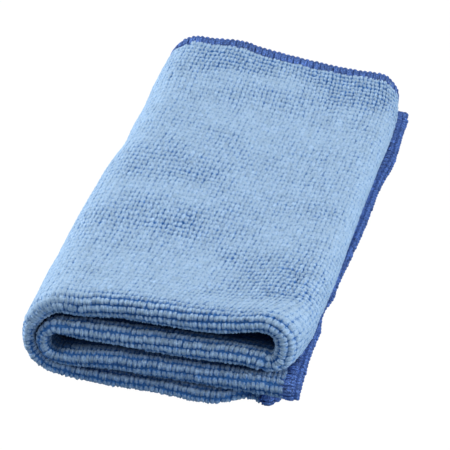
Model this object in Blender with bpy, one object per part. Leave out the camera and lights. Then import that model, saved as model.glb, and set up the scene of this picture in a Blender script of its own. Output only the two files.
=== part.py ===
# Folded microfibre cloth.  A square terry cloth with an overlocked edge is folded once in half,
# then the doubled strip is folded in half and in half again.  Drawn in millimetres, written in metres.
# +X runs along the front fold, +Y away from it, +Z up.  The folded cloth rests on z = 0.
import bpy
import numpy as np

# ---- driving sizes (mm) ----
sheetThick = 2.8        # one sheet with its pile
plyGap = 0.3            # between the two sheets of the doubled strip
bandWidth = 6.0         # width of the overlocked edge
rimThick = 1.2          # the cloth's edge as pressed flat inside the overlock
bandWall = 0.6          # thread thickness over each face of the rim
fitGap = 0.3            # clearance between the overlock and the cloth
clothDepth = 400.0      # cloth across the first fold, so 200 each side of it
backHalf = sheetThick + plyGap / 2        # half thickness of the doubled strip away from the front

# layers of the doubled strip, mid heights: at the front fold, and at the back (left and right)
layers = {
    "bottom": dict(front=3.0, backLeft=2.95, backRight=2.95),
    "third": dict(front=11.1, backLeft=10.3, backRight=9.3),
    "second": dict(front=21.5, backLeft=18.0, backRight=16.2),
    "top": dict(front=33.9, backLeft=29.2, backRight=23.6),
}
levelFade = 52.0        # distance over which the layers settle behind the front fold

# side folds, outermost x of each at distances behind the front fold, and width / height of the bend
foldReach = {
    "outerLeft": dict(at=(0, 20, 60, 108, 124, 150, 200), x=(0.6, 0.0, 0.2, -0.6, 1.6, 0.0, 0.8), bend=0.95),
    "right": dict(at=(0, 12, 28, 70, 110, 145, 175, 200), x=(105.0, 108.0, 110.2, 109.2, 108.6, 107.0, 104.8, 101.6),
                  bend=1.0),
    "innerLeft": dict(bend=1.0),
}
innerSlack = 1.7        # room between the outer and the inner left fold
bottomEndX = 98.4       # right hem of the bottom layer
thirdEnd = dict(at=(0, 12, 32, 60, 92, 120, 146, 172, 200), x=(107.0, 106.4, 105.5, 105.2, 105.7, 106.8, 108.0, 107.7, 106.6))

# the strip from its lower right end to its upper right end: nominal length of each stretch
stretches = (
    ("bottom", 81.5), ("outerLeft", 44.0), ("top", 80.0), ("right", 24.0),
    ("second", 81.0), ("innerLeft", 17.5), ("third", 92.0),
)
stripLength = sum(row[1] for row in stretches)
joins = dict(zip([row[0] for row in stretches], np.cumsum([0] + [row[1] for row in stretches[:-1]])))
ends = dict(zip([row[0] for row in stretches], np.cumsum([row[1] for row in stretches])))

# front fold along the strip: place as (stretch, share of it), outer radius of the loop, set-back of its front
frontLoop = (
    ("bottom", 0.00, 3.1, 3.6), ("bottom", 0.10, 3.0, 4.4), ("bottom", 0.19, 3.0, 1.6), ("bottom", 0.28, 3.1, -1.4),
    ("bottom", 0.50, 3.1, -2.2), ("bottom", 0.85, 3.0, -2.2),
    ("outerLeft", 0.15, 3.0, -1.8), ("outerLeft", 0.50, 3.05, -0.6), ("outerLeft", 0.90, 3.9, 0.2),
    ("top", 0.15, 4.5, 0.4), ("top", 0.40, 5.0, 0.5), ("top", 0.75, 4.9, 0.7), ("top", 0.95, 3.6, 2.0),
    ("right", 0.35, 3.2, 2.4), ("right", 0.75, 3.2, 1.4),
    ("second", 0.10, 4.1, 0.2), ("second", 0.35, 4.7, -0.5), ("second", 0.85, 4.7, -0.6),
    ("innerLeft", 0.20, 3.7, -0.8), ("innerLeft", 0.60, 3.05, -1.2),
    ("third", 0.08, 3.6, -1.8), ("third", 0.35, 3.95, -2.3), ("third", 0.80, 3.95, -2.0), ("third", 1.00, 3.9, -1.3),
)
loopFade = 26.0         # distance over which the loop closes to the doubled thickness

# soft ridges (+) and troughs (-) on the top layer: centre, half widths, height
swells = (
    dict(x=50, y=176, wide=26, long=13, high=0.7),
    dict(x=88, y=168, wide=22, long=12, high=0.8),
    dict(x=60, y=150, wide=50, long=10, high=-0.7),
    dict(x=30, y=120, wide=26, long=12, high=0.8),
    dict(x=80, y=118, wide=26, long=16, high=-0.5),
    dict(x=32, y=82, wide=34, long=15, high=0.9),
    dict(x=40, y=48, wide=34, long=14, high=-0.9),
    dict(x=92, y=46, wide=17, long=22, high=0.9),
)

stationsAlong = dict(bottom=7, outerLeft=9, top=9, right=7, second=6, innerLeft=6, third=7)
stationsBehind = (0.0, 1.5, 3.1, 4.8, 7.5, 12.0, 19.0, 30.0, 46.0, 68.0, 96.0, 124.0, 150.0, 175.0)


def ease(t):
    # smooth step: 0 below 0, 1 above 1, level at both ends
    t = np.clip(t, 0.0, 1.0)
    return t * t * (3 - 2 * t)


def smoothTable(at, places, values):
    # cubic through the rows of a table, level past both ends (slopes from neighbouring rows)
    places, values = np.asarray(places, float), np.asarray(values, float)
    slope = np.gradient(values, places)
    slope[0] = slope[-1] = 0.0
    at = np.clip(at, places[0], places[-1])
    i = np.clip(np.searchsorted(places, at, side="right") - 1, 0, len(places) - 2)
    span = places[i + 1] - places[i]
    t = (at - places[i]) / span
    return (values[i] * (1 + 2 * t) * (1 - t) ** 2 + slope[i] * span * t * (1 - t) ** 2
            + values[i + 1] * t * t * (3 - 2 * t) + slope[i + 1] * span * t * t * (t - 1))


loopPlaces = [joins[row[0]] + row[1] * (ends[row[0]] - joins[row[0]]) for row in frontLoop]
loopRadii = [row[2] for row in frontLoop]
loopSetBacks = [row[3] for row in frontLoop]


def outerRadius(u):
    return smoothTable(u, loopPlaces, loopRadii)


def halfThickness(u, y):
    # outer face of the doubled strip from its mid line: the loop's radius, easing to the flat value
    radius = outerRadius(u)
    return backHalf + (radius - backHalf) * (1 - ease((y - radius) / loopFade))


def settle(y):
    return np.exp(-(np.clip(y, 0, None) / levelFade) ** 1.25)


def layerHeight(name, x, y, u):
    # mid height of one layer: front value settling to a back value that leans from left to right
    row = layers[name]
    back = row["backLeft"] + (row["backRight"] - row["backLeft"]) * ease((x - 12) / 80)
    front = row["front"]
    if name == "bottom":        # lies on the ground, lifting towards the left fold
        return halfThickness(u, y) + 1.3 * (1 - ease((x - 15) / 14))
    if name == "top":           # sags in the middle and is held up over the right fold
        front = front - 1.3 * (1 - ease((x - 20) / 22)) + 3.9 * ease((x - 75) / 19)
        swell = sum(s["high"] * np.exp(-((x - s["x"]) / s["wide"]) ** 2 - ((y - s["y"]) / s["long"]) ** 2)
                    for s in swells)
        shoulder = ease((x - 14) / 14) * ease((98 - x) / 10)
        return back + (front - back) * settle(y) + swell * shoulder
    return back + (front - back) * settle(y)


def foldShape(name, y):
    # centre x, centre z, half width and half height of a side fold's mid line
    u = np.full_like(y, (joins[name] + ends[name]) / 2)
    half = halfThickness(u, y)
    lower, upper, side = {"outerLeft": ("bottom", "top", 16), "right": ("second", "top", 97),
                          "innerLeft": ("third", "second", 15)}[name]
    uLow = {"outerLeft": ends["bottom"], "right": joins["second"], "innerLeft": joins["third"]}[name]
    uTop = {"outerLeft": joins["top"], "right": ends["top"], "innerLeft": ends["second"]}[name]
    zLow = layerHeight(lower, np.full_like(y, side), y, np.full_like(y, uLow))
    zTop = layerHeight(upper, np.full_like(y, side), y, np.full_like(y, uTop))
    high = (zTop - zLow) / 2
    wide = high * foldReach[name]["bend"]
    if name == "innerLeft":
        outer = foldShape("outerLeft", y)
        reach = outer["reach"] + 2 * outer["half"] + innerSlack
        return dict(x=reach + half + wide, z=(zLow + zTop) / 2, wide=wide, high=high, reach=reach, half=half)
    reach = smoothTable(y, foldReach[name]["at"], foldReach[name]["x"])
    if name == "right":
        wide = np.minimum(wide, 9.5)
        return dict(x=reach - half - wide, z=(zLow + zTop) / 2, wide=wide, high=high, reach=reach, half=half)
    return dict(x=reach + half + wide, z=(zLow + zTop) / 2, wide=wide, high=high, reach=reach, half=half)


def midLine(u, y):
    # mid line of the doubled strip in the upright plane at distance y: runs joined by half ellipses
    left, right, inner = foldShape("outerLeft", y), foldShape("right", y), foldShape("innerLeft", y)
    thirdEndX = smoothTable(y, thirdEnd["at"], thirdEnd["x"])
    share = {name: (u - joins[name]) / (ends[name] - joins[name]) for name in joins}
    runEnds = {"bottom": (bottomEndX, left["x"]), "top": (left["x"], right["x"]),
               "second": (right["x"], inner["x"]), "third": (inner["x"], thirdEndX)}
    x, z = np.zeros_like(u), np.zeros_like(u)
    for name, (x0, x1) in runEnds.items():
        on = (share[name] >= 0) & (share[name] <= 1) if name != "bottom" else share[name] <= 1
        on = on | (share[name] > 1) if name == "third" else on
        here = x0 + (x1 - x0) * share[name]
        x, z = np.where(on, here, x), np.where(on, layerHeight(name, here, y, u), z)
    for name, fold, start, turn in (("outerLeft", left, -1, -1), ("right", right, 1, -1), ("innerLeft", inner, 1, 1)):
        on = (share[name] > 0) & (share[name] < 1)
        angle = start * np.pi / 2 + turn * np.pi * share[name]
        x = np.where(on, fold["x"] + fold["wide"] * np.cos(angle), x)
        z = np.where(on, fold["z"] + fold["high"] * np.sin(angle), z)
    return x, z


def surface(u, v, h):
    # point of the folded cloth: u along the strip, v across the first fold (0..400), h outward from mid sheet
    u, v, h = np.broadcast_arrays(np.asarray(u, float), np.asarray(v, float), np.asarray(h, float))
    q = np.abs(v - clothDepth / 2)
    side = np.where(v > clothDepth / 2, -1.0, 1.0)
    radius = outerRadius(u) - sheetThick / 2          # mid sheet
    round_ = q < radius * np.pi / 2
    angle = np.clip(q / radius, 0, np.pi / 2)
    y = np.where(round_, radius + sheetThick / 2 - (radius + h) * np.cos(angle), radius + sheetThick / 2
                 + q - radius * np.pi / 2)
    flat = backHalf - sheetThick / 2
    eased = flat + (radius - flat) * (1 - ease((y - radius - sheetThick / 2) / loopFade))
    off = np.where(round_, (radius + h) * np.sin(angle), eased + h) * side
    step = 0.25
    x, z = midLine(u, y)
    xa, za = midLine(u - step, y)
    xb, zb = midLine(u + step, y)
    length = np.hypot(xb - xa, zb - za)
    x, z = x - (zb - za) / length * off, z + (xb - xa) / length * off
    setBack = smoothTable(u, loopPlaces, loopSetBacks) * np.exp(-(y / 60) ** 2)
    skew = (1.6 - 3.0 * ease((x - 10) / 90)) * (y / 200) ** 2
    return np.stack([x, y + setBack + skew, z], -1)


def stationsU():
    out = [0.0, bandWidth + fitGap]
    for name, length in stretches:
        count = stationsAlong[name]
        out += [joins[name] + length * (i + 1) / count for i in range(count)]
    out = [u for u in out if not bandWidth + fitGap < u < bandWidth + 4 and not
           stripLength - bandWidth - 4 < u < stripLength - bandWidth - fitGap]
    return np.array(sorted(set(out[:-1]) | {stripLength - bandWidth - fitGap, stripLength}))


def stationsV():
    q = np.array(stationsBehind + (clothDepth / 2 - bandWidth - fitGap, clothDepth / 2))
    return np.concatenate([clothDepth / 2 - q[:0:-1], clothDepth / 2 + q])


def solid(name, points, faces, colour, rough):
    mesh = bpy.data.meshes.new(name)
    mesh.from_pydata((points * 0.001).tolist(), [], faces)
    mesh.update()
    material = bpy.data.materials.new(name + "_mat")
    material.use_nodes = True
    shader = material.node_tree.nodes["Principled BSDF"]
    shader.inputs["Base Color"].default_value = (*colour, 1)
    shader.inputs["Roughness"].default_value = rough
    mesh.materials.append(material)
    node = bpy.data.objects.new(name, mesh)
    bpy.context.scene.collection.objects.link(node)
    return node


def gridFaces(nu, nv, base=0, flip=False):
    i, j = np.meshgrid(np.arange(nu - 1), np.arange(nv - 1), indexing="ij")
    a = base + (i * nv + j).ravel()
    quads = np.stack([a, a + nv, a + nv + 1, a + 1], -1)
    return (quads if flip else quads[:, ::-1]).tolist()


def rimLoop(nu, nv):
    # grid indices once round the border
    return ([i * nv for i in range(nu)] + [(nu - 1) * nv + j for j in range(1, nv)]
            + [i * nv + nv - 1 for i in range(nu - 2, -1, -1)] + [j for j in range(nv - 2, 0, -1)])


def buildCloth():
    # outer and inner face over the field, and a thinner rim that reaches into the overlock
    us, vs = stationsU()[1:-1], stationsV()[1:-1]
    u, v = np.meshgrid(us, vs, indexing="ij")
    nu, nv = u.shape
    rim = np.array(rimLoop(nu, nv))
    reach = bandWidth - bandWall          # how far the rim goes into the overlock
    ur, vr = u.ravel()[rim], v.ravel()[rim]
    uo = np.where(ur == us[0], us[0] - reach, np.where(ur == us[-1], us[-1] + reach, ur))
    vo = np.where(vr == vs[0], vs[0] - reach, np.where(vr == vs[-1], vs[-1] + reach, vr))
    half, thin = sheetThick / 2, rimThick / 2
    rings = [surface(u, v, half).reshape(-1, 3), surface(u, v, -half).reshape(-1, 3),
             surface(ur, vr, thin), surface(uo, vo, thin), surface(uo, vo, -thin), surface(ur, vr, -thin)]
    faces = gridFaces(nu, nv) + gridFaces(nu, nv, nu * nv, flip=True)
    n, base = len(rim), 2 * nu * nv
    chain = [rim, base + np.arange(n), base + n + np.arange(n), base + 2 * n + np.arange(n),
             base + 3 * n + np.arange(n), nu * nv + rim]
    for a, b in zip(chain[:-1], chain[1:]):
        faces += np.stack([a, np.roll(a, -1), np.roll(b, -1), b], -1).tolist()
    return np.concatenate(rings), faces


def buildEdging():
    # a channel of thread once round the cloth: section corners as distance in from the edge and height
    us, vs = stationsU()[1:-1], stationsV()[1:-1]
    u, v = np.meshgrid(us, vs, indexing="ij")
    rim = np.array(rimLoop(*u.shape))
    ur, vr = u.ravel()[rim], v.ravel()[rim]
    outU = np.where(ur == us[0], -1, np.where(ur == us[-1], 1, 0))
    outV = np.where(vr == vs[0], -1, np.where(vr == vs[-1], 1, 0))
    half, inside = sheetThick / 2, rimThick / 2 + fitGap
    section = ((bandWidth, half), (0.0, 0.8 * half), (0.0, -0.8 * half), (bandWidth, -half),
               (bandWidth, -inside), (bandWall, -inside), (bandWall, inside), (bandWidth, inside))
    rings = []
    for depth, h in section:
        past = bandWidth + fitGap - depth
        rings.append(surface(ur + outU * past, vr + outV * past, h))
    n = len(rim)
    faces = []
    for k in range(len(section)):
        a, b = k * n + np.arange(n), ((k + 1) % len(section)) * n + np.arange(n)
        faces += np.stack([a, np.roll(a, -1), np.roll(b, -1), b], -1).tolist()
    return np.concatenate(rings), faces


def main():
    for old in list(bpy.data.objects):
        bpy.data.objects.remove(old)
    clothPoints, clothFaces = buildCloth()
    edgePoints, edgeFaces = buildEdging()
    both = np.concatenate([clothPoints, edgePoints])
    low, high = both.min(0), both.max(0)
    centre = np.array([(low[0] + high[0]) / 2, (low[1] + high[1]) / 2, low[2]])
    solid("cloth", clothPoints - centre, clothFaces, (0.36, 0.54, 0.80), 0.9)
    solid("edging", edgePoints - centre, edgeFaces, (0.055, 0.10, 0.40), 0.75)
    print("box mm", np.round(low, 2), np.round(high, 2), "size", np.round(high - low, 2))


main()
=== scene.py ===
# Folded microfibre cloth: the looped pile, the overlocked edge, their finishes and the lighting.
# Drawn in millimetres on the same folds as the frame; written into the meshes in metres.
import bpy
import numpy as np
from mathutils import Matrix, Vector


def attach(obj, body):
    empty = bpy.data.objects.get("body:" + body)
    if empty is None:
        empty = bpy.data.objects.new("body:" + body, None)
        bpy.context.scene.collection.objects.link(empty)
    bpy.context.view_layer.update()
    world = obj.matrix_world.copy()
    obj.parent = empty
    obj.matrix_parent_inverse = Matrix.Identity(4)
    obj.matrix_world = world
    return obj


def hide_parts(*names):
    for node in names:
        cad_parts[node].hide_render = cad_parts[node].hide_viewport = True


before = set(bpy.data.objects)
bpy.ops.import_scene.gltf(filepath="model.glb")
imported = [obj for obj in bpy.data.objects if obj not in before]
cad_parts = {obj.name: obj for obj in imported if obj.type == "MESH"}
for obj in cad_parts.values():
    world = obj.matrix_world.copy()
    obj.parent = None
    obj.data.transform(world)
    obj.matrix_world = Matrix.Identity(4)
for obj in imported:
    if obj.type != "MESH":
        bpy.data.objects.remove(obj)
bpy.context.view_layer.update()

cloth = dict(
    sheetThick=2.8,        # one sheet, pile included
    plyGap=0.3,            # between the two sheets of the doubled strip
    halfDepth=200.0,       # cloth each side of the first fold
    levelFade=52.0, levelPower=1.25,   # distance over which layers settle behind the front fold, how suddenly
    loopFade=26.0,         # the loop of the first fold closes over this distance
    middle=(54.64, 99.88),             # middle of the footprint on the fold drawing
    groundLow=-1.25, groundHigh=0.30,   # ground sheet, heights from the mid sheet
    pressed=0.35,          # pile under this height is squeezed flat on the table
)
backHalf = cloth["sheetThick"] + cloth["plyGap"] / 2

# doubled layers above the bottom one: mid heights at the front fold and at the back (left, right), how far the
# front drops at the left and rises at the right, each as (height, x where it starts, distance that it takes)
layerHeights = dict(
    third=dict(front=11.1, backLeft=10.3, backRight=9.3, leftDrop=(2.0, 14, 22), rightRise=(0.0, 0, 1)),
    second=dict(front=21.5, backLeft=18.0, backRight=16.2, leftDrop=(0.0, 0, 1), rightRise=(-1.6, 82, 15)),
    top=dict(front=33.9, backLeft=29.2, backRight=24.1, leftDrop=(2.0, 20, 22), rightRise=(2.4, 75, 19)),
)
backLean = dict(start=12, over=80)                 # the back heights pass from left to right over this stretch
bottomCorner = dict(lift=0.7, start=15, over=14)   # the bottom layer stands off the table at its left
swellLimits = dict(left=14, leftOver=14, right=98, rightOver=10)   # the ridges die out towards both sides
# the side folds: the layers each joins, and the x where their heights are read
foldLayers = dict(outerLeft=("bottom", "top", 16), right=("second", "top", 97),
                  innerLeft=("third", "second", 15))
# how the back edge runs askew: its lean from left to right, the pull at its right corner, a bulge at its left.
# the front's set-back fades over the last distance
backEdge = dict(leftBack=1.6, leanAcross=2.1, leanFrom=10, leanOver=90,
                cornerPull=4.2, cornerFrom=93, cornerOver=10,
                bulge=2.2, bulgeAt=31.5, bulgeWide=9, setBackFade=60)
# outermost x of the side folds against distance behind the front
leftReach = dict(at=(0, 14, 28, 42, 66, 90, 108, 124, 136, 152, 170, 200),
                 x=(0.5, 0.2, -0.5, -0.2, -0.6, -0.4, 0.1, 1.7, 1.2, 1.3, 0.3, 0.2),
                 bend=0.95, sag=2.4, sagTo=60.0)
rightReach = dict(at=(0, 12, 22, 29, 40, 60, 80, 100, 120, 140, 160, 180, 200),
                  x=(105.0, 107.0, 108.0, 107.5, 107.6, 107.3, 106.6, 106.0, 105.7, 105.5, 105.6, 104.7, 102.0),
                  bend=1.0, widest=9.5, pinch=(0.50, 0.14), pinchTo=70)
innerReach = dict(slack=0.1, bend=1.0)
bottomEnd = 98.4
thirdEnd = dict(at=(0, 10, 18, 27, 36, 43, 50, 56, 62, 72, 92, 120, 132, 142, 150, 160, 172, 187, 200),
                x=(107.2, 106.2, 105.8, 105.2, 105.1, 105.1, 103.9, 103.5, 104.7, 104.6, 105.2, 105.8, 105.6,
                   105.6, 106.1, 107.0, 106.8, 106.0, 105.8))

# the strip from its lower right end to its upper right end, length of each stretch
stretches = dict(bottom=81.5, outerLeft=44.0, top=80.0, right=24.0, second=81.0, innerLeft=17.5, third=92.0)
ends = dict(zip(stretches, np.cumsum(list(stretches.values()))))
joins = {name: ends[name] - stretches[name] for name in stretches}
stripLength = ends["third"]

# first fold along the strip: stretch, share of it, outer radius of the loop, set-back of its front
frontLoop = (
    ("bottom", 0.00, 3.0, 3.8), ("bottom", 0.04, 2.9, 1.8), ("bottom", 0.07, 2.9, 1.6),
    ("bottom", 0.11, 2.9, 3.2), ("bottom", 0.15, 2.9, 3.2), ("bottom", 0.20, 2.9, 0.8),
    ("bottom", 0.26, 3.0, -2.0), ("bottom", 0.33, 3.1, -3.3), ("bottom", 0.50, 3.1, -2.8),
    ("bottom", 0.85, 3.0, -2.6),
    ("outerLeft", 0.15, 2.9, -2.0), ("outerLeft", 0.50, 2.75, -0.6), ("outerLeft", 0.82, 4.4, 0.2),
    ("top", 0.04, 5.5, 0.4), ("top", 0.20, 5.0, 0.4), ("top", 0.40, 5.0, 0.5), ("top", 0.75, 4.9, 0.7),
    ("top", 0.95, 3.8, 2.0),
    ("right", 0.22, 5.2, 2.6), ("right", 0.50, 4.6, 2.2), ("right", 0.78, 4.4, 1.4),
    ("second", 0.10, 4.1, 0.2), ("second", 0.35, 4.7, -0.5), ("second", 0.70, 4.5, -0.6),
    ("second", 0.95, 3.5, -0.6),
    ("innerLeft", 0.30, 2.9, -1.0), ("innerLeft", 0.70, 2.85, -1.9),
    ("third", 0.08, 3.1, -2.8), ("third", 0.30, 3.9, -2.6), ("third", 0.80, 3.95, -2.0),
    ("third", 1.00, 3.9, -2.6),
)
# soft ridges (+) and troughs (-) of the top layer: centre, half widths, height
swells = (
    dict(x=50, y=176, wide=26, long=13, high=0.7),
    dict(x=88, y=168, wide=22, long=12, high=0.8),
    dict(x=60, y=150, wide=50, long=10, high=-0.7),
    dict(x=30, y=120, wide=26, long=12, high=0.8),
    dict(x=80, y=118, wide=26, long=16, high=-0.5),
    dict(x=32, y=82, wide=34, long=15, high=0.9),
    dict(x=40, y=48, wide=34, long=14, high=-0.9),
    dict(x=92, y=46, wide=17, long=22, high=0.9),
)


def ease(t):
    # smooth step between 0 and 1, level at both ends: t squared times (3 - 2t)
    t = np.clip(t, 0.0, 1.0)
    return t * t * (3 - 2 * t)


def throughRows(at, places, values):
    # cubic curve through the rows of a table, level past both ends
    places, values = np.asarray(places, float), np.asarray(values, float)
    slope = np.gradient(values, places)
    slope[0] = slope[-1] = 0.0
    at = np.clip(at, places[0], places[-1])
    i = np.clip(np.searchsorted(places, at, side="right") - 1, 0, len(places) - 2)
    span = places[i + 1] - places[i]
    t = (at - places[i]) / span
    return (values[i] * (1 + 2 * t) * (1 - t) ** 2 + slope[i] * span * t * (1 - t) ** 2
            + values[i + 1] * t * t * (3 - 2 * t) + slope[i + 1] * span * t * t * (t - 1))


loopAt = [joins[row[0]] + row[1] * stretches[row[0]] for row in frontLoop]
loopOuter = [row[2] for row in frontLoop]
loopBack = [row[3] for row in frontLoop]


def outerRadius(u):
    # outer radius of the first fold at a place along the strip, from the rows of frontLoop
    return throughRows(u, loopAt, loopOuter)


def halfThickness(u, y):
    # mid line to outer face of the doubled strip: the loop radius easing to the flat value behind it
    radius = outerRadius(u)
    return backHalf + (radius - backHalf) * (1 - ease((y - radius) / cloth["loopFade"]))


def swellAt(x, y):
    # sum of the ridges, each a bell over its two half widths
    return sum(s["high"] * np.exp(-((x - s["x"]) / s["wide"]) ** 2 - ((y - s["y"]) / s["long"]) ** 2)
               for s in swells)


def layerMid(name, x, y, u):
    # mid height of a doubled layer: front value fading to a back value that leans from left to right.
    # the bottom layer lies on the table instead, so its mid height is its own half thickness
    if name == "bottom":
        corner = 1 - ease((x - bottomCorner["start"]) / bottomCorner["over"])
        return halfThickness(u, y) + bottomCorner["lift"] * corner
    row = layerHeights[name]
    drop, dropFrom, dropOver = row["leftDrop"]
    rise, riseFrom, riseOver = row["rightRise"]
    lean = ease((x - backLean["start"]) / backLean["over"])
    back = row["backLeft"] + (row["backRight"] - row["backLeft"]) * lean
    front = row["front"] - drop * (1 - ease((x - dropFrom) / dropOver)) + rise * ease((x - riseFrom) / riseOver)
    fade = np.exp(-(np.clip(y, 0, None) / cloth["levelFade"]) ** cloth["levelPower"])
    mid = back + (front - back) * fade
    if name == "top":
        limits = swellLimits
        mid = mid + (swellAt(x, y) * ease((x - limits["left"]) / limits["leftOver"])
                     * ease((limits["right"] - x) / limits["rightOver"]))
    return mid


def sideFold(name, y):
    # half ellipse joining two layers: centre, half width and half height of its mid line
    half = halfThickness(np.full_like(y, joins[name] + stretches[name] / 2), y)
    lower, upper, x = foldLayers[name]
    uLow = dict(outerLeft=ends["bottom"], right=joins["second"], innerLeft=joins["third"])[name]
    uTop = dict(outerLeft=joins["top"], right=ends["top"], innerLeft=ends["second"])[name]
    zLow = layerMid(lower, np.full_like(y, x), y, np.full_like(y, uLow))
    zTop = layerMid(upper, np.full_like(y, x), y, np.full_like(y, uTop))
    high = (zTop - zLow) / 2
    if name == "innerLeft":
        outer = sideFold("outerLeft", y)
        wide = high * innerReach["bend"]
        reach = outer["reach"] + 2 * outer["half"] + innerReach["slack"]
        return dict(x=reach + half + wide, z=(zLow + zTop) / 2, wide=wide, high=high, reach=reach, half=half)
    if name == "right":
        wide = np.minimum(high * rightReach["bend"], rightReach["widest"])
        reach = throughRows(y, rightReach["at"], rightReach["x"])
        return dict(x=reach - half - wide, z=(zLow + zTop) / 2, wide=wide, high=high, reach=reach, half=half)
    wide = high * leftReach["bend"]
    reach = throughRows(y, leftReach["at"], leftReach["x"])
    return dict(x=reach + half + wide, z=(zLow + zTop) / 2, wide=wide, high=high, reach=reach, half=half)


def foldsAt(y):
    # the side folds at a distance behind the front, worked out at fine stations and read between them
    stations = np.linspace(-4, 206, 1261)
    folds = {name: sideFold(name, stations) for name in ("outerLeft", "right", "innerLeft")}
    return {name: {key: np.interp(y, stations, fold[key]) for key in ("x", "z", "wide", "high")}
            for name, fold in folds.items()}


def midLine(u, y, folds):
    # mid line of the doubled strip in the upright plane at y: level runs joined by half ellipses
    left, right, inner = folds["outerLeft"], folds["right"], folds["innerLeft"]
    share = {name: (u - joins[name]) / stretches[name] for name in stretches}
    runs = dict(bottom=(bottomEnd, left["x"]), top=(left["x"], right["x"]), second=(right["x"], inner["x"]),
                third=(inner["x"], throughRows(y, thirdEnd["at"], thirdEnd["x"])))
    x, z = np.zeros_like(u), np.zeros_like(u)
    for name, (x0, x1) in runs.items():
        on = (share[name] >= 0) & (share[name] <= 1)
        on = share[name] <= 1 if name == "bottom" else share[name] >= 0 if name == "third" else on
        here = x0 + (x1 - x0) * share[name]
        x, z = np.where(on, here, x), np.where(on, layerMid(name, here, y, u), z)
    for name, fold, start, turn in (("outerLeft", left, -1, -1), ("right", right, 1, -1),
                                    ("innerLeft", inner, 1, 1)):
        on = (share[name] > 0) & (share[name] < 1)
        angle = (start / 2 + turn * share[name]) * np.pi
        droop = leftReach["sag"] * (1 - ease(y / leftReach["sagTo"])) if name == "outerLeft" else 0.0
        out, up = np.cos(angle), np.sin(angle)
        if name == "right":
            low, high = rightReach["pinch"]       # both corners pinched square near the front
            tight = (1 - ease(y / rightReach["pinchTo"])) * (low * ease(-up / 0.5) + high * ease(up / 0.5))
            out = np.sign(out) * np.abs(out) ** (1 - tight)
        x = np.where(on, fold["x"] + (fold["wide"] - droop * up) * out, x)
        z = np.where(on, fold["z"] + fold["high"] * up, z)
    return x, z


def onCloth(u, v, h):
    # folded place of a cloth point: u along the strip, v across the first fold, h up from the mid sheet.
    # round the first fold it is a circle arc, then the sheet runs back, and the strip's section places it.
    u, v, h = (np.array(a, float) for a in np.broadcast_arrays(u, v, h))
    q = np.abs(v - cloth["halfDepth"])
    side = np.where(v > cloth["halfDepth"], -1.0, 1.0)
    halfSheet = cloth["sheetThick"] / 2
    radius = outerRadius(u) - halfSheet
    bent = q < radius * np.pi / 2
    angle = np.clip(q / radius, 0, np.pi / 2)
    y = np.where(bent, radius + halfSheet - (radius + h) * np.cos(angle),
                 radius + halfSheet + q - radius * np.pi / 2)
    flat = backHalf - halfSheet
    eased = flat + (radius - flat) * (1 - ease((y - radius - halfSheet) / cloth["loopFade"]))
    off = np.where(bent, (radius + h) * np.sin(angle), eased + h) * side
    folds = foldsAt(y)
    step = 0.25
    x, z = midLine(u, y, folds)
    xa, za = midLine(u - step, y, folds)
    xb, zb = midLine(u + step, y, folds)
    length = np.hypot(xb - xa, zb - za)
    x, z = x - (zb - za) / length * off, z + (xb - xa) / length * off
    b = backEdge
    setBack = throughRows(u, loopAt, loopBack) * np.exp(-(y / b["setBackFade"]) ** 2)
    far = np.clip(y / cloth["halfDepth"], 0, None)
    skew = ((b["leftBack"] - b["leanAcross"] * ease((x - b["leanFrom"]) / b["leanOver"])) * far ** 2
            - b["cornerPull"] * ease((x - b["cornerFrom"]) / b["cornerOver"]) * far ** 10
            + b["bulge"] * np.exp(-((x - b["bulgeAt"]) / b["bulgeWide"]) ** 2) * far ** 8)
    z = np.where(z < cloth["pressed"], cloth["pressed"] * np.exp(z / cloth["pressed"] - 1), z)
    return np.stack([x - cloth["middle"][0], y + setBack + skew - cloth["middle"][1], z], -1)


def wander(u, v, pitchU, pitchV, seed):
    # smooth noise between -1 and 1: random values on a coarse lattice, eased between its knots
    table = np.random.default_rng(seed).uniform(-1, 1, (64, 64))
    a, b = u / pitchU, v / pitchV
    i, j = np.floor(a).astype(int), np.floor(b).astype(int)
    s, t = ease(a - i), ease(b - j)
    near, beside, beyond, across = (table[m % 64, n % 64] for m, n in ((i, j), (i + 1, j), (i, j + 1),
                                                                       (i + 1, j + 1)))
    return (near * (1 - s) + beside * s) * (1 - t) + (beyond * (1 - s) + across * s) * t


def gridQuads(rows, columns):
    # faces of a grid of points: each joins a point to the next in its row and the two of the row after
    i, j = np.meshgrid(np.arange(rows - 1), np.arange(columns - 1), indexing="ij")
    a = (i * columns + j).ravel()
    return np.stack([a, a + 1, a + columns + 1, a + columns], -1)


def makePiece(name, points, quads, material, uv=None, tones=None):
    # a mesh from whole arrays: points in millimetres, quads, a UV per point and colour values per point
    mesh = bpy.data.meshes.new(name)
    mesh.vertices.add(len(points))
    mesh.vertices.foreach_set("co", (points * 0.001).astype(np.float32).ravel())
    mesh.loops.add(quads.size)
    mesh.loops.foreach_set("vertex_index", quads.astype(np.int32).ravel())
    mesh.polygons.add(len(quads))
    mesh.polygons.foreach_set("loop_start", np.arange(0, quads.size, 4, dtype=np.int32))
    mesh.polygons.foreach_set("use_smooth", np.ones(len(quads), bool))
    mesh.update(calc_edges=True)
    if uv is not None:
        layer = mesh.uv_layers.new(name="clothUv")
        layer.data.foreach_set("uv", uv[quads.ravel()].astype(np.float32).ravel())
    if tones is not None:
        layer = mesh.color_attributes.new("pileToneAndShade", "FLOAT_COLOR", "POINT")
        colours = np.concatenate([tones, np.ones((len(tones), 1))], 1)
        layer.data.foreach_set("color", colours.astype(np.float32).ravel())
    mesh.validate()
    mesh.materials.append(material)
    piece = bpy.data.objects.new(name, mesh)
    bpy.context.scene.collection.objects.link(piece)
    return piece
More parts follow.
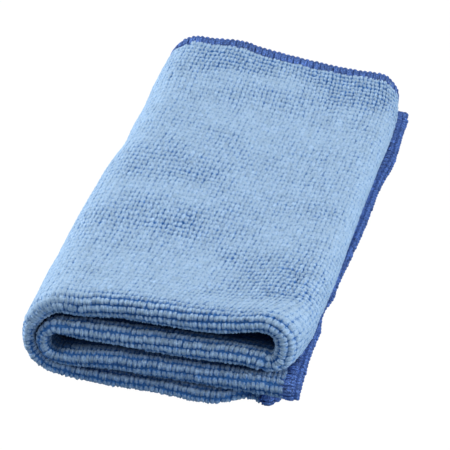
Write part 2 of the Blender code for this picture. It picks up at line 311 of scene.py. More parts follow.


# colours of the finishes; the deep pile colour is partly the pile's own deeper blue and partly painted shade in
# the gaps, the deep thread colour is painted shade between the strands
finishes = dict(
    pileTop=(0.378, 0.542, 0.735), pileDeepAndShade=(0.041, 0.174, 0.49), pileRough=0.95, pileSheen=0.12,
    rampFrom=0.15, rampTo=0.82,          # crown heights where the deep colour ends and the pale one begins
    fuzzScale=1700.0, fuzzShift=(-0.34, 0.14), openFuzz=0.68, streak=(0.66, 1.20),
    ground=(0.055, 0.17, 0.43), groundSheen=0.1,
    thread=(0.078, 0.156, 0.415), threadShade=(0.030, 0.080, 0.30), threadRough=0.7,
    threadVary=(0.78, 1.22), threadSpeckle=(0.25, 1.85),
)


def newMaterial(name):
    # an empty principled material and the handles to build it with
    material = bpy.data.materials.new(name)
    material.use_nodes = True
    nodes, links = material.node_tree.nodes, material.node_tree.links
    return material, nodes, links, nodes["Principled BSDF"]


def streakBump(nodes, links, acrossScale, alongScale, strength, distance):
    # fine filaments: noise drawn out along the loops, read from the cloth's own UV in millimetres
    uvMap = nodes.new("ShaderNodeUVMap")
    uvMap.uv_map = "clothUv"
    stretch = nodes.new("ShaderNodeMapping")
    stretch.inputs["Scale"].default_value = (acrossScale, alongScale, 1)
    noise = nodes.new("ShaderNodeTexNoise")
    noise.inputs["Scale"].default_value = 1.0
    noise.inputs["Detail"].default_value = 3.0
    bump = nodes.new("ShaderNodeBump")
    bump.inputs["Strength"].default_value = strength
    bump.inputs["Distance"].default_value = distance
    links.new(uvMap.outputs[0], stretch.inputs[0])
    links.new(stretch.outputs[0], noise.inputs["Vector"])
    links.new(noise.outputs["Fac"], bump.inputs["Height"])
    return noise, bump


def mapRange(nodes, links, source, fromMin, fromMax, toMin, toMax):
    # straight line that carries one range of values on to another, held at both ends
    node = nodes.new("ShaderNodeMapRange")
    for key, value in (("From Min", fromMin), ("From Max", fromMax), ("To Min", toMin), ("To Max", toMax)):
        node.inputs[key].default_value = value
    links.new(source, node.inputs[0])
    return node.outputs[0]


def pileMaterial(name, top, deep, rough, sheen):
    # pale on the crowns, deep blue down in the gaps, partly painted shade there: ramp over crown height plus
    # fine fuzz, streaked by filaments where the loops stand open
    material, nodes, links, shader = newMaterial(name)
    noise, bump = streakBump(nodes, links, 1.9, 0.5, 0.5, 0.0004)
    fuzz = nodes.new("ShaderNodeTexNoise")
    fuzz.inputs["Scale"].default_value = finishes["fuzzScale"]
    fuzz.inputs["Detail"].default_value = 2.0
    place = nodes.new("ShaderNodeTexCoord")
    links.new(place.outputs["Object"], fuzz.inputs["Vector"])
    tone = nodes.new("ShaderNodeVertexColor")      # red crown height, lowered by painted shade in the gaps; green brightness, a random tone with painted shade between and below the layers; blue how open
    tone.layer_name = "pileToneAndShade"
    parts = nodes.new("ShaderNodeSeparateColor")
    shift = nodes.new("ShaderNodeMath")
    shift.operation = "MULTIPLY_ADD"
    ramp = nodes.new("ShaderNodeValToRGB")
    ramp.color_ramp.elements[0].color = (*deep, 1)
    ramp.color_ramp.elements[1].color = (*top, 1)
    ramp.color_ramp.elements[0].position = finishes["rampFrom"]
    ramp.color_ramp.elements[1].position = finishes["rampTo"]
    vary = nodes.new("ShaderNodeHueSaturation")
    fleck = nodes.new("ShaderNodeMix")
    fleck.data_type = "RGBA"
    fleck.blend_type = "MULTIPLY"
    links.new(tone.outputs["Color"], parts.inputs[0])
    links.new(mapRange(nodes, links, fuzz.outputs["Fac"], 0.35, 0.65, *finishes["fuzzShift"]), shift.inputs[0])
    links.new(mapRange(nodes, links, parts.outputs[2], 0, 1, 1.0, finishes["openFuzz"]), shift.inputs[1])
    links.new(parts.outputs[0], shift.inputs[2])
    links.new(shift.outputs[0], ramp.inputs[0])
    links.new(mapRange(nodes, links, parts.outputs[1], 0, 1, 0.0, 2.0), vary.inputs["Value"])
    links.new(ramp.outputs[0], vary.inputs["Color"])
    streak = mapRange(nodes, links, noise.outputs["Fac"], 0.32, 0.68, *finishes["streak"])
    links.new(mapRange(nodes, links, parts.outputs[2], 0, 1, 0.2, 1.0), fleck.inputs[0])
    links.new(vary.outputs[0], fleck.inputs[6])
    links.new(streak, fleck.inputs[7])
    links.new(fleck.outputs[2], shader.inputs["Base Color"])
    links.new(bump.outputs[0], shader.inputs["Normal"])
    shader.inputs["Roughness"].default_value = rough
    shader.inputs["Specular IOR Level"].default_value = 0.1
    shader.inputs["Sheen Weight"].default_value = sheen
    shader.inputs["Sheen Roughness"].default_value = 0.5
    shader.inputs["Sheen Tint"].default_value = (0.6, 0.8, 1.0, 1)
    return material


def threadMaterial(name, colour, deep, rough):
    # twisted thread: painted shade between the strands, a painted highlight and speckles on their crowns
    material, nodes, links, shader = newMaterial(name)
    noise, bump = streakBump(nodes, links, 1.5, 1.5, 0.5, 0.0003)
    mix = nodes.new("ShaderNodeMix")
    mix.data_type = "RGBA"
    fleck = nodes.new("ShaderNodeMix")
    fleck.data_type = "RGBA"
    fleck.blend_type = "MULTIPLY"
    tone = nodes.new("ShaderNodeVertexColor")
    tone.layer_name = "pileToneAndShade"
    parts = nodes.new("ShaderNodeSeparateColor")
    vary = nodes.new("ShaderNodeHueSaturation")
    links.new(tone.outputs["Color"], parts.inputs[0])
    links.new(parts.outputs[0], mix.inputs[0])
    mix.inputs[6].default_value = (*deep, 1)
    mix.inputs[7].default_value = (*colour, 1)
    links.new(mapRange(nodes, links, parts.outputs[1], 0, 1, *finishes["threadVary"]), vary.inputs["Value"])
    links.new(mix.outputs[2], vary.inputs["Color"])
    fleck.inputs[0].default_value = 1.0
    links.new(vary.outputs[0], fleck.inputs[6])
    speckle = mapRange(nodes, links, noise.outputs["Fac"], 0.34, 0.66, *finishes["threadSpeckle"])
    links.new(speckle, fleck.inputs[7])
    links.new(fleck.outputs[2], shader.inputs["Base Color"])
    links.new(bump.outputs[0], shader.inputs["Normal"])
    shader.inputs["Roughness"].default_value = rough
    shader.inputs["Specular IOR Level"].default_value = 0.25
    return material


pileFinish = pileMaterial("loopedPile", finishes["pileTop"], finishes["pileDeepAndShade"], finishes["pileRough"],
                          finishes["pileSheen"])
groundFinish = pileMaterial("clothGround", finishes["ground"], finishes["ground"], finishes["pileRough"],
                            finishes["groundSheen"])
threadFinish = threadMaterial("edgeThread", finishes["thread"], finishes["threadShade"], finishes["threadRough"])

# ground sheet under the pile: steps along the strip, and across it round the fold, near it and far from it
groundSheet = dict(alongStep=3.3, loopStep=1.0, nearStep=2.8, farStep=6.5, loopTo=10.0, nearTo=38.0, trim=1.2,
                   farLength=160)


def groundStations():
    # places of the grid lines: evenly along the strip, and across it closer together round the first fold
    g = groundSheet
    us = np.linspace(g["trim"], stripLength - g["trim"], int(stripLength / g["alongStep"]))
    q = np.concatenate([np.arange(0, g["loopTo"], g["loopStep"]),
                        np.arange(g["loopTo"], g["nearTo"], g["nearStep"]),
                        np.linspace(g["nearTo"], cloth["halfDepth"] - g["trim"],
                                    int(g["farLength"] / g["farStep"]))])
    return us, np.concatenate([cloth["halfDepth"] - q[:0:-1], cloth["halfDepth"] + q])


def closedSheet(us, vs, low, high):
    # two faces of one sheet, joined round the border by a strip of quads
    u, v = np.meshgrid(us, vs, indexing="ij")
    nu, nv = u.shape
    topFace, underFace = onCloth(u, v, high).reshape(-1, 3), onCloth(u, v, low).reshape(-1, 3)
    quads = gridQuads(nu, nv)
    border = np.array([i * nv for i in range(nu)] + [(nu - 1) * nv + j for j in range(1, nv)]
                      + [i * nv + nv - 1 for i in range(nu - 2, -1, -1)] + [j for j in range(nv - 2, 0, -1)])
    after = np.roll(border, -1)
    wall = np.stack([border, after, after + nu * nv, border + nu * nv], -1)
    uv = np.stack([u.ravel(), v.ravel()], -1)
    faces = np.concatenate([quads[:, ::-1], quads + nu * nv, wall[:, ::-1]])
    return np.concatenate([topFace, underFace]), faces, np.concatenate([uv, uv])


points, quads, uv = closedSheet(*groundStations(), cloth["groundLow"], cloth["groundHigh"])
clothSheet = makePiece("clothSheet", points, quads, groundFinish, uv, np.full((len(points), 3), 0.5))
print("ground sheet", len(quads), "faces")

# looped pile: one small closed pillow for each loop, in rows that follow the first fold
pile = dict(
    pitchFront=1.80, pitchTop=1.66,   # loops along a row: round the first fold, and elsewhere
    rowPitch=2.88,                    # rows, measured on the outside of the cloth
    frontReach=11.5,                  # rows within this of the first fold belong to it
    foot=0.12, tall=1.22,             # foot below the ground's face, crown above it
    overlapClosed=(1.56, 1.90), overlapOpen=(1.30, 1.12), overlapFold=(1.30, 1.02),   # loop size over pitch
    roundClosed=0.20, roundOpen=0.46,                       # power of the crown: lower is flatter
    strandDepth=0.24, strandVary=0.10, strandLean=0.24, squareness=0.40,
    jitterU=0.13, jitterV=0.14, edgeKeep=5.9, endKeep=6.4, betweenShade=0.60, lowShade=0.08,
    toneFlat=(0.60, 0.60), toneOpen=(0.45, 0.90), toneFold=(0.4, 1.0),   # colour in the gaps, partly painted shade: between columns, and rows
    cornerShade=(1.5, 0.9),           # and painted shade at the corners, flat and in the fold
    rowEase=(0.23, 0.33),             # how much the rows spread round the fold, and more on the top layer
    driftTo=150, rightEndKeep=2.9,    # rows drift until here; the pile runs nearer the edge on the right
    backPull=1.1, backPullAt=34, backPullWide=22,      # last rows drawn off the back edge
    waveU=0.45, waveA=0.36, ripple=0.20, pairDepth=0.08, plainOpen=0.35,
    lean=0.14, twist=0.08, crownVary=0.05, toneVary=0.018, closedLively=0.25,
    betweenFrom=4.3, betweenOver=6.5, betweenShadeBlue=0.62, lowShadeBlue=0.16,   # painted shade between and below the layers, turned a deeper blue there
    drift=((0, -0.6), (80, -0.6), (125.5, -1.3), (143, -0.6), (167, 0.5), (188, 1.9), (205.5, 1.9),
           (229.5, 1.1), (310.5, 4.4), (322, 4.8), (347, 6.1), (372, 6.8), (420, 8.3)),
)
loopShape = dict(across=(-1, -0.82, -0.45, 0, 0.45, 0.82, 1), along=(-1, -0.72, 0, 0.72, 1),
                 plainAcross=(-1, -0.6, 0.6, 1), plainAlong=(-1, -0.6, 0.6, 1))
# where the top's loops stand open: centre, half widths, how far
openPatches = (
    dict(x=26, y=185, wide=27, long=10, much=0.60), dict(x=88, y=180, wide=22, long=13, much=0.68),
    dict(x=26, y=103, wide=24, long=9, much=0.46), dict(x=29, y=63, wide=32, long=9, much=0.36),
    dict(x=90, y=36, wide=24, long=17, much=0.54), dict(x=60, y=164, wide=30, long=7, much=0.30),
    dict(x=63, y=142, wide=30, long=8, much=-0.40), dict(x=26, y=84, wide=26, long=5, much=-0.35),
    dict(x=42, y=33, wide=38, long=8, much=-0.40), dict(x=58, y=188, wide=20, long=8, much=0.34),
    dict(x=55, y=13, wide=42, long=6, much=-0.32),
)


openShape = dict(plain=0.28, broad=0.22, broken=0.20, sideClosed=0.34, rightClosed=0.22,
                 foldReach=7, leftLess=5.2, rightLess=2.4, foldLeft=0.42, foldRight=0.26, sharper=0.25)


def openness(u, a, x, y):
    # 0 where the pile lies flat and closed, 1 where the loops stand apart: patches plus broken noise
    spread = sum(p["much"] * np.exp(-(((x - p["x"]) / p["wide"]) ** 4 + ((y - p["y"]) / p["long"]) ** 4))
                 for p in openPatches)
    o = openShape
    outside = (a > 0) & (u < joins["second"])
    spread = (o["plain"] + spread * outside + o["broad"] * wander(u, a, 17, 13, 3)
              + o["broken"] * wander(u, a, 6, 5, 4))
    onLeft = ease((joins["top"] + 20 - u) / 26) * ease((u - ends["bottom"] - 6) / 22) * (a > 0)
    onRight = ease((u - ends["top"] + 6) / 14) * (a > 0)
    spread = spread - o["sideClosed"] * ease((joins["top"] - u) / 12) - o["rightClosed"] * onRight
    reach = o["foldReach"] - o["leftLess"] * onLeft - o["rightLess"] * onRight
    fold = 1 - ease((np.abs(a) - reach) / ((1 - o["sharper"] * outside) * reach))
    fold = fold * (1 - o["foldLeft"] * onLeft - o["foldRight"] * onRight * ease((joins["second"] + 8 - u) / 12))
    return np.clip(np.maximum(spread, fold), 0, 1), fold


def acrossFold(u, a):
    # distance from the first fold on the mid sheet for a distance on the outside, and the stretch between them
    radius = outerRadius(u) - cloth["sheetThick"] / 2
    low, more = pile["rowEase"]
    onTop = ease((u - joins["top"] + 15) / 15) * ease((ends["top"] + 15 - u) / 15)
    stretch = 1 + (low + more * onTop) / radius
    bendEnd = radius * np.pi / 2 * stretch
    inBend = np.abs(a) < bendEnd
    q = np.where(inBend, np.abs(a) / stretch, radius * np.pi / 2 + np.abs(a) - bendEnd)
    return cloth["halfDepth"] - np.sign(a) * q


def footRing(ns, nt):
    # border of an ns by nt grid as one ring, and the quads that close it flat
    grid = np.arange(ns * nt).reshape(ns, nt)
    ring = np.concatenate([grid[:-1, 0], grid[-1, :-1], grid[:0:-1, -1], grid[0, :0:-1]])
    k, n = np.arange(len(ring) // 2 - 1), len(ring)
    return np.stack([ring[k], ring[k + 1], ring[n - 2 - k], ring[n - 1 - k]], -1)


def facingOut(points, quads):
    # closed bodies: turn every face round if their signed volume is negative
    a, b, c, d = (points[quads[:, k]] for k in range(4))
    volume = (np.einsum("ij,ij->i", a, np.cross(b, c)).sum()
              + np.einsum("ij,ij->i", a, np.cross(c, d)).sum())
    return quads[:, ::-1] if volume < 0 else quads


def loopBlock(name, uFrom, uTo, aFrom, aTo, pitchU, seed, plain=False):
    # one pillow of two strands per loop: rounded footprint, height a power of (1 - s squared)(1 - t squared)
    # ribbed by its strands, laid on the folded cloth. a is the distance from the first fold on the outside of
    # the cloth, minus on the under side
    rng = np.random.default_rng(seed)
    rowsAt = np.arange(np.ceil(aFrom / pile["rowPitch"] - 0.5) - 4, np.ceil(aTo / pile["rowPitch"] - 0.5) + 2)
    columnsAt = np.arange(np.ceil(uFrom / pitchU), np.ceil(uTo / pitchU))
    column, row = (k.ravel() for k in np.meshgrid(columnsAt, rowsAt, indexing="ij"))
    cu, ca = column * pitchU, (row + 0.5) * pile["rowPitch"]
    driftAt, drift = zip(*pile["drift"])
    ca = ca + throughRows(cu, driftAt, drift) * (1 - ease(np.abs(ca) / pile["driftTo"]))
    cv = acrossFold(cu, ca)
    onRight = ease((cu - ends["top"] + 12) / 14)
    endKeep = pile["endKeep"] - pile["rightEndKeep"] * onRight * (ca > 0) * (cu < joins["second"])
    keep = ((cu > pile["edgeKeep"]) & (cu < stripLength - pile["edgeKeep"]) & (ca >= aFrom) & (ca < aTo)
            & (np.abs(cv - cloth["halfDepth"]) < cloth["halfDepth"] - endKeep))
    column, cu, ca = column[keep], cu[keep], ca[keep]
    pulled = pile["backPull"] * np.exp(-((cu - joins["top"] - pile["backPullAt"]) / pile["backPullWide"]) ** 2)
    ca = ca - pulled * ease((ca - 150) / 45)
    cv = acrossFold(cu, ca)
    count = len(cu)
    place = onCloth(cu, cv, 1.0)
    open_, fold = openness(cu, ca, place[:, 0] + cloth["middle"][0], place[:, 1] + cloth["middle"][1])
    if plain:
        open_ = np.maximum(open_, pile["plainOpen"])
    cu = cu + pile["waveU"] * wander(cu, ca, 9, 40, 11) + rng.normal(0, pile["jitterU"], count)
    ca = ca + pile["waveA"] * wander(cu, ca, 7, 30, 12) + pile["ripple"] * wander(cu, ca, 2.4, 3.1, 13)
    ca = ca + rng.normal(0, pile["jitterV"], count) * (1 - 0.4 * fold)
    across = loopShape["plainAcross" if plain else "across"]
    along = loopShape["plainAlong" if plain else "along"]
    ns, nt = len(across), len(along)
    s, t = (k.ravel() for k in np.meshgrid(across, along, indexing="ij"))
    everyOther = np.where(column % 2 == 0, 1, -1)
    pairing = 1 + pile["pairDepth"] * everyOther * (0.6 + 0.4 * wander(cu, ca, 30, 12, 14))
    sizeU, sizeA = (c + (o - c) * open_ + (f - o) * fold
                    for c, o, f in zip(pile["overlapClosed"], pile["overlapOpen"], pile["overlapFold"]))
    halfU = pitchU / 2 * sizeU * pairing * rng.normal(1, 0.05, count)
    halfA = pile["rowPitch"] / 2 * sizeA * rng.normal(1, 0.08 - 0.03 * fold, count)
    tall = pile["tall"] * (0.95 + 0.05 * open_) * pairing ** 0.8 * rng.normal(1, 0.015 + 0.038 * open_, count)
    power = pile["roundClosed"] + (pile["roundOpen"] - pile["roundClosed"]) * open_
    crown = ((1 - s * s) * (1 - t * t))[None] ** power[:, None]
    # colour in the gaps, partly painted shade: rows part round the fold, columns on the flat
    toneU, toneA = (c + (o - c) * open_[:, None] + (f - o) * fold[:, None]
                    for c, o, f in zip(pile["toneFlat"], pile["toneOpen"], pile["toneFold"]))
    pale = (1 - s * s)[None] ** (power[:, None] * toneU) * (1 - t * t)[None] ** (power[:, None] * toneA)
    lively = pile["closedLively"] + (1 - pile["closedLively"]) * open_[:, None]
    strand = 1 + rng.normal(0, pile["strandVary"], (count, ns)) * lively
    if not plain:
        strand[:, 3] -= pile["strandDepth"] * rng.uniform(0.0, 1.8, count) * lively[:, 0]
    crown = crown * np.repeat(strand, nt, axis=1) * (1 + rng.normal(0, pile["crownVary"], crown.shape) * lively)
    lean = (rng.normal(0.0, pile["lean"], (count, 1))
            + np.repeat(rng.normal(0, pile["strandLean"], (count, ns)), nt, axis=1))
    twist = rng.normal(0, pile["twist"], count)
    du = (s * np.sqrt(1 - pile["squareness"] * t * t))[None] * halfU[:, None]
    da = (t * np.sqrt(1 - pile["squareness"] * s * s))[None] * halfA[:, None]
    du, da = du + twist[:, None] * da, da - twist[:, None] * du + lean * crown * lively
    h = cloth["groundHigh"] - pile["foot"] + crown * (tall + pile["foot"])[:, None]
    u, a = cu[:, None] + du, ca[:, None] + da
    points = onCloth(u, acrossFold(u, a), h).reshape(-1, 3)
    one = np.concatenate([gridQuads(ns, nt)[:, ::-1], footRing(ns, nt)])
    quads = facingOut(points, (one[None] + (np.arange(count) * ns * nt)[:, None, None]).reshape(-1, 4))
    uv = np.stack([(u + rng.uniform(0, 40, count)[:, None]).ravel(), a.ravel()], -1)
    # painted shade: loops deep between the layers, and early on the concave side of the inner left fold, are
    # darkened
    inside = ease((cu - joins["innerLeft"] + 8) / 10) * ease((ends["innerLeft"] + 8 - cu) / 10) * (ca > 0)
    between = ease((np.abs(ca) - pile["betweenFrom"] + 3.2 * inside) / (pile["betweenOver"] - 3.0 * inside))
    between = np.where((ca < 0) | (cu > joins["second"]), between, 0.0)
    between = between * (1 - 0.75 * ease((cu - stripLength + 22) / 12))        # the last loops reach the light
    loopToneAndShade = np.clip(0.5 + pile["toneVary"] * rng.normal(0, 1, count), 0, 1)
    loopToneAndShade = loopToneAndShade * (1 - pile["betweenShade"] * between)
    # painted shade: loops of the lower layers near the table are darkened
    low = ease((ends["bottom"] + 22 - cu) / 28) + ease((cu - joins["innerLeft"] + 6) / 16)
    loopToneAndShade = loopToneAndShade * (1 - pile["lowShade"] * low)
    # painted shade at the loop corners, where four loops meet
    corner = pile["cornerShade"][0] + (pile["cornerShade"][1] - pile["cornerShade"][0]) * fold[:, None]
    paintedShadeBlue = np.maximum(pile["betweenShadeBlue"] * between, pile["lowShadeBlue"] * low)[:, None]   # painted shade, turned a deeper blue there
    pale = pale * (1 - paintedShadeBlue) - corner * (s * t) ** 2
    tones = np.stack([np.clip(pale, 0, 1).ravel(), np.repeat(loopToneAndShade, ns * nt), np.repeat(open_, ns * nt)], -1)
    print(name, count, "loops", len(quads) * 2, "triangles")
    return makePiece(name, points, quads, pileFinish, uv, tones)


frontReach = pile["frontReach"]
leftStart, topStart, topEnd, rightEnd = 62.0, joins["top"] - 12, ends["top"] + 6, joins["second"] + 4
halfWay, pastBack = 100, 206
pilePieces = [
    loopBlock("pileTopFront", topStart, topEnd, frontReach, halfWay, pile["pitchTop"], 21),
    loopBlock("pileTopBack", topStart, topEnd, halfWay, pastBack, pile["pitchTop"], 22),
    loopBlock("pileLeftSide", leftStart, topStart, frontReach, pastBack, pile["pitchTop"], 23),
    loopBlock("pileRightSide", topEnd, rightEnd, frontReach, pastBack, pile["pitchTop"], 24),
    loopBlock("pileUnderside", 0, leftStart, frontReach, pastBack, pile["pitchTop"], 25, plain=True),
    loopBlock("pileFirstFold", 0, stripLength, -frontReach, frontReach, pile["pitchFront"], 26),
    loopBlock("pileBetweenTop", rightEnd, stripLength, frontReach, 29, pile["pitchFront"], 27, plain=True),
    loopBlock("pileBetweenUnder", 0, stripLength, -26, -frontReach, pile["pitchFront"], 28, plain=True),
]

# overlocked edge: a binding band with bars of thread over it, a chain round the very edge and a needle line
edge = dict(
    band=7.0, groundHalf=0.90, middle=cloth["halfDepth"] * 2,
    endStretch=1.12,               # the binding runs deeper along the two long edges
    barPitch=2.85, barWide=0.50, barThick=0.34,
    spread=(0.62, 0.92),           # three strands a bar, fanned towards the edge
    beadPitch=2.10, beadLong=1.06, beadHigh=1.00, beadDeep=0.82,
    beadAt=0.36, beadSlant=0.36,   # chain round the edge
    stitchLong=1.70, stitchRadius=0.26, stitchDepth=5.6,            # needle line on the inner side
    jitter=0.10, pastEdge=0.8,     # how far thread may stand past the cloth's edge
)
# section of a bar: depth in from the edge, height
barPath = ((5.7, 0.80), (4.6, 1.10), (3.1, 1.16), (2.0, 1.02), (1.0, 0.0),
           (2.0, -1.02), (3.1, -1.16), (4.6, -1.10), (5.7, -0.80))
# section of the binding: share of its width in from the edge, height in half thicknesses
bandSection = ((1.0, 0.95), (0.5, 1.0), (0.12, 0.85), (0.03, 0.4), (0.03, -0.4), (0.12, -0.85), (0.5, -1.0),
               (1.0, -0.95))


def bindingGround():
    # closed band of packed thread once round the cloth: a rounded section carried along the border
    us = np.linspace(0, stripLength, 300)
    vs = np.concatenate([np.linspace(0, 160, 60), np.linspace(162, 186, 12), np.linspace(188, 212, 25),
                         np.linspace(214, 238, 12), np.linspace(240, 400, 60)])
    inner = edge["band"]
    uPath = np.concatenate([us, np.full(len(vs), stripLength), us[::-1], np.zeros(len(vs))])
    vPath = np.concatenate([np.zeros(len(us)), vs, np.full(len(us), edge["middle"]), vs[::-1]])
    keep = np.concatenate([[True], np.hypot(np.diff(uPath), np.diff(vPath)) > 1e-6])
    uPath, vPath = uPath[keep][:-1], vPath[keep][:-1]
    uIn, vIn = np.clip(uPath, inner, stripLength - inner), np.clip(vPath, inner, edge["middle"] - inner)
    rings = [onCloth(uPath + (uIn - uPath) * share, vPath + (vIn - vPath) * share, h * edge["groundHalf"])
             for share, h in bandSection]
    n, m = len(uPath), len(bandSection)
    points = np.stack(rings, 1).reshape(-1, 3)
    i, k = (c.ravel() for c in np.meshgrid(np.arange(n), np.arange(m), indexing="ij"))
    after, beside = (i + 1) % n, (k + 1) % m
    quads = np.stack([i * m + k, i * m + beside, after * m + beside, after * m + k], -1)
    uv = np.stack([np.repeat(uPath + vPath, m), np.tile(np.arange(m), n)], -1)
    return points, facingOut(points, quads), uv


def threads(side, path, wide, thick, sides, flatRing):
    # round tubes along paths given as (run along the border, depth in, height), one row per thread:
    # rings square to the path, closed at both ends, placed on one side of the folded cloth
    step = np.gradient(path, axis=1)
    step /= np.linalg.norm(step, axis=2, keepdims=True)
    across = np.zeros_like(step)
    across[..., 2 if flatRing else 0] = 1.0
    across -= step * np.sum(across * step, 2, keepdims=True)
    across /= np.linalg.norm(across, axis=2, keepdims=True)
    outward = np.cross(step, across)
    turn = (np.arange(sides) + 0.5) / sides * 2 * np.pi
    ring = (np.cos(turn)[None, None, :, None] * across[:, :, None] * wide[..., None, None]
            + np.sin(turn)[None, None, :, None] * outward[:, :, None] * thick[..., None, None])
    run, depth, high = np.moveaxis(path[:, :, None] + ring, 3, 0)
    far, past = edge["middle"], edge["pastEdge"]
    u, v = dict(front=(run, depth), right=(stripLength - depth, run),
                back=(run, far - depth), left=(depth, run))[side]
    points = onCloth(np.clip(u, -past, stripLength + past), np.clip(v, -past, far + past), high).reshape(-1, 3)
    count, k = path.shape[:2]
    i, j = (c.ravel() for c in np.meshgrid(np.arange(k - 1), np.arange(sides), indexing="ij"))
    beside = (j + 1) % sides
    one = np.stack([i * sides + j, i * sides + beside, (i + 1) * sides + beside, (i + 1) * sides + j], -1)
    e, n = np.arange(sides // 2 - 1), sides
    cap = np.stack([e, e + 1, n - 2 - e, n - 1 - e], -1)
    one = np.concatenate([one, cap[:, ::-1], cap + (k - 1) * sides])
    quads = facingOut(points, (one[None] + (np.arange(count) * k * sides)[:, None, None]).reshape(-1, 4))
    # painted highlight and shade by facing: pale on the outward side of each bar strand, or on top and
    # underneath of the flat rings, dark on the rest; green is a random tone per thread
    shade = np.clip(0.5 + 0.55 * (np.cos(turn) if flatRing else np.sin(turn)), 0, 1)
    crown = np.broadcast_to(np.abs(shade * 2 - 1)[None, None] if flatRing else shade[None, None], u.shape)
    tones = np.stack([crown.ravel(), np.repeat(np.random.default_rng(count).uniform(0, 1, count), k * sides),
                      np.ones(crown.size)], -1)
    uv = np.stack([run.ravel(), (depth + 3 * high).ravel()], -1)
    return points, quads, uv, tones


def overlockBars(side, length, seed):
    # three strands a bar, close at the needle line and fanned at the edge, over both faces
    rng = np.random.default_rng(seed)
    count = int(round(length / edge["barPitch"]))
    at = (np.arange(count) + 0.5) * length / count + rng.normal(0, edge["jitter"], count)
    depth, high = np.array(barPath).T
    depth = depth * (edge["endStretch"] if side in ("front", "back") else 1.0)
    close, wide = edge["spread"]
    apart = close + (wide - close) * np.clip(1 - depth / 5.7, 0, 1)
    strands = []
    for way in (-1, 0, 1):
        loose = 0.12 * rng.normal(0, 1, (count, 1))
        run = at[:, None] + way * apart + loose + 0.12 * (depth - 3) * np.sign(high)
        lift = high * rng.normal(1 - 0.05 * abs(way), 0.04, (count, 1))
        path = np.stack(np.broadcast_arrays(run, depth + 0 * run, lift), -1)
        size = rng.normal(1, 0.08, (count, 1)) * np.array([0.6, 1, 1, 1, 0.9, 1, 1, 1, 0.6])
        strands.append(threads(side, path, edge["barWide"] * size, edge["barThick"] * size, 6, False))
    return strands


def overlockChain(side, length, seed):
    # slanting beads along the very edge, and a needle line of short stitches on both faces
    rng = np.random.default_rng(seed)
    count = int(round(length / edge["beadPitch"]))
    at = (np.arange(count) + 0.5) * length / count + rng.normal(0, edge["jitter"], count)
    t = np.linspace(-1, 1, 5)
    bulge = np.sqrt(1 - (0.92 * t) ** 2)
    run = at[:, None] + t * edge["beadLong"]
    path = np.stack([run, edge["beadAt"] + t * edge["beadSlant"] + 0.06 * rng.normal(0, 1, (count, 1)),
                     0.3 * edge["beadSlant"] * t + 0 * run], -1)
    size = rng.normal(1, 0.07, (count, 1)) * bulge
    rows = [threads(side, path, size * edge["beadHigh"], size * edge["beadDeep"], 8, True)]
    count = int(round(length / edge["barPitch"]))
    at = (np.arange(count) + 0.5) * length / count + rng.normal(0, edge["jitter"], count)
    t = np.linspace(-1, 1, 4)
    bulge = np.sqrt(1 - (0.9 * t) ** 2)
    for face in (1, -1):
        run = at[:, None] + t * edge["stitchLong"] / 2
        depth = edge["stitchDepth"] * (edge["endStretch"] if side in ("front", "back") else 1.0)
        path = np.stack([run, depth + 0 * run, face * (0.90 + 0.28 * bulge) + 0 * run], -1)
        size = edge["stitchRadius"] * bulge + 0 * run
        rows.append(threads(side, path, size, size, 4, True))
    return rows


def joined(name, rows):
    # one piece from many sets of threads: their points end to end, their faces counted on
    starts = np.cumsum([0] + [len(r[0]) for r in rows[:-1]])
    points, uv, tones = (np.concatenate([r[k] for r in rows]) for k in (0, 2, 3))
    quads = np.concatenate([r[1] + start for r, start in zip(rows, starts)])
    print(name, len(quads) * 2, "triangles")
    return makePiece(name, points, quads, threadFinish, uv, tones)


points, quads, uv = bindingGround()
edgeBinding = makePiece("edgeBinding", points, quads, threadFinish, uv, np.full((len(points), 3), 0.25))
sides = (("front", stripLength), ("right", edge["middle"]), ("back", stripLength), ("left", edge["middle"]))
edgeBars = joined("edgeBars", [strand for k, (side, length) in enumerate(sides)
                               for strand in overlockBars(side, length, 31 + k)])
edgeChain = joined("edgeChain", [row for k, (side, length) in enumerate(sides)
                                 for row in overlockChain(side, length, 41 + k)])

# each piece rides on the root body, and the frame's cloth and edging solids that the pieces stand for are
# hidden
for piece in [clothSheet, edgeBinding, edgeBars, edgeChain] + pilePieces:
    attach(piece, "root")
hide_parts("cloth")
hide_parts("edging")

# floor and light; the sky's rows are the upward part of the direction and the colour of the light from there
stage = dict(
    floorReach=2.6, wallHigh=2.4, wallGlow=1.0, coveRadius=0.4, around=48,
    sky=((-1.0, (0.27, 0.38, 0.50)), (-0.30, (0.275, 0.40, 0.54)), (-0.06, (0.060, 0.102, 0.156)),
         (0.10, (0.015, 0.029, 0.055)), (0.40, (0.07, 0.09, 0.13)), (0.62, (0.42, 0.44, 0.47)),
         (0.80, (1.08, 1.08, 1.08)), (1.0, (1.54, 1.51, 1.48))),
    skyPower=1.0,
    sideLights=((-1.3, 0.05, 0.28, 18.5), (1.3, -0.15, 0.34, 13.5)), sideSize=1.0,   # place and watts
)
# angles in radians, distance in metres, what it looks at in millimetres on the fold drawing
view = dict(lens=218.928, sensor=36.0, shift=(0.010791111, -0.032102222), elevation=0.60535, yaw=0.26833,
            distance=1.08605, aim=(50.0, 100.0, 15.0), clip=(0.05, 20))


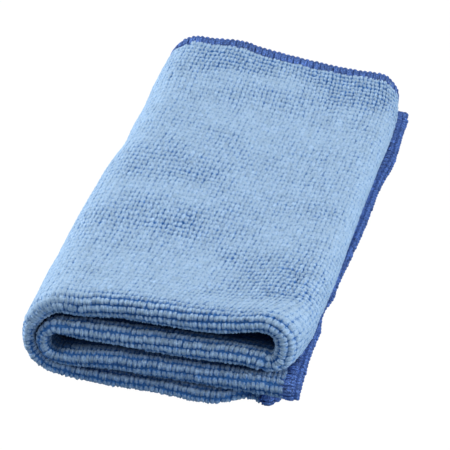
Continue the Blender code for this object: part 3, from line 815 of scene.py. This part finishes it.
def makeFloor():
    # pale floor rising all round into a plain dome: a profile of rings turned about the upright
    reach, high, cove, around = stage["floorReach"], stage["wallHigh"], stage["coveRadius"], stage["around"]
    turn = np.linspace(0, np.pi / 2, 13)
    radius = np.concatenate([[0.02, reach * 0.5, reach], reach + cove * np.sin(turn),
                             (reach + cove) * np.cos(turn[1:-1])])
    level = np.concatenate([[0, 0, 0], cove * (1 - np.cos(turn)), cove + high * np.sin(turn[1:-1])])
    angle = np.arange(around) / around * 2 * np.pi
    points = np.stack([radius[:, None] * np.cos(angle), radius[:, None] * np.sin(angle),
                       np.repeat(level[:, None], around, 1)], -1).reshape(-1, 3)
    i, j = (k.ravel() for k in np.meshgrid(np.arange(len(radius) - 1), np.arange(around), indexing="ij"))
    beside = (j + 1) % around
    quads = np.stack([i * around + j, i * around + beside, (i + 1) * around + beside, (i + 1) * around + j], -1)
    mesh = bpy.data.meshes.new("floor")
    mesh.from_pydata(points.tolist(), [], quads.tolist() + [list(range(around - 1, -1, -1))])
    material, _, _, shader = newMaterial("paleFloor")
    shader.inputs["Base Color"].default_value = (0.02, 0.02, 0.02, 1)
    shader.inputs["Roughness"].default_value = 1.0
    shader.inputs["Specular IOR Level"].default_value = 0.0
    shader.inputs["Emission Color"].default_value = (1, 1, 1, 1)
    shader.inputs["Emission Strength"].default_value = stage["wallGlow"]
    mesh.materials.append(material)
    floor = bpy.data.objects.new("floor", mesh)
    floor.visible_diffuse = floor.visible_glossy = floor.visible_transmission = floor.visible_shadow = False
    bpy.context.scene.collection.objects.link(floor)


def makeSky():
    # soft studio light by height: pale blue from below, dim at the horizon, brightest overhead
    world = bpy.data.worlds.new("studio")
    world.use_nodes = True
    nodes, links = world.node_tree.nodes, world.node_tree.links
    direction = nodes.new("ShaderNodeTexCoord")
    parts = nodes.new("ShaderNodeSeparateXYZ")
    ramp = nodes.new("ShaderNodeValToRGB")
    while len(ramp.color_ramp.elements) < len(stage["sky"]):
        ramp.color_ramp.elements.new(0.5)
    for element, (at, colour) in zip(ramp.color_ramp.elements, stage["sky"]):
        element.position, element.color = (at + 1) / 2, (*colour, 1)
    links.new(direction.outputs["Generated"], parts.inputs[0])
    links.new(mapRange(nodes, links, parts.outputs["Z"], -1, 1, 0, 1), ramp.inputs[0])
    links.new(ramp.outputs[0], nodes["Background"].inputs[0])
    nodes["Background"].inputs[1].default_value = stage["skyPower"]
    bpy.context.scene.world = world


def makeCamera():
    # long lens, 35 degrees above the horizon and 15 degrees round to the right. it looks along forward, worked
    # out from its two angles, from a distance behind the point that it aims at
    elevation, yaw, distance = view["elevation"], view["yaw"], view["distance"]
    x, y, z = view["aim"]
    aim = np.array([x - cloth["middle"][0], y - cloth["middle"][1], z]) * 0.001
    ahead = np.array([-np.sin(yaw), np.cos(yaw), 0])
    right = np.array([np.cos(yaw), np.sin(yaw), 0])
    forward = ahead * np.cos(elevation) + np.array([0, 0, -np.sin(elevation)])
    up = np.cross(right, forward)
    camera = bpy.data.cameras.new("camera")
    camera.sensor_width = view["sensor"]
    camera.lens = view["lens"]
    camera.shift_x, camera.shift_y = view["shift"]
    camera.clip_start, camera.clip_end = view["clip"]
    holder = bpy.data.objects.new("camera", camera)
    turn = Matrix(np.stack([right, up, -forward], 1).tolist())
    place = aim - forward * distance
    holder.matrix_world = Matrix.Translation(place) @ turn.to_4x4()
    bpy.context.scene.collection.objects.link(holder)
    bpy.context.scene.camera = holder


def softLight(name, power, size, place, aim=(0, 0, 0.015)):
    # round area light that faces the middle of the bundle
    light = bpy.data.lights.new(name, "AREA")
    light.shape, light.size, light.energy = "DISK", size, power
    holder = bpy.data.objects.new(name, light)
    holder.location = place
    holder.rotation_mode = "QUATERNION"
    holder.rotation_quaternion = (Vector(aim) - Vector(place)).to_track_quat("-Z", "Y")
    bpy.context.scene.collection.objects.link(holder)


makeFloor()
makeSky()
makeCamera()
for side, (x, y, z, watts) in zip(("left", "right"), stage["sideLights"]):
    softLight(side + "Light", watts, stage["sideSize"], (x, y, z))
bpy.context.scene.view_settings.view_transform = "Standard"
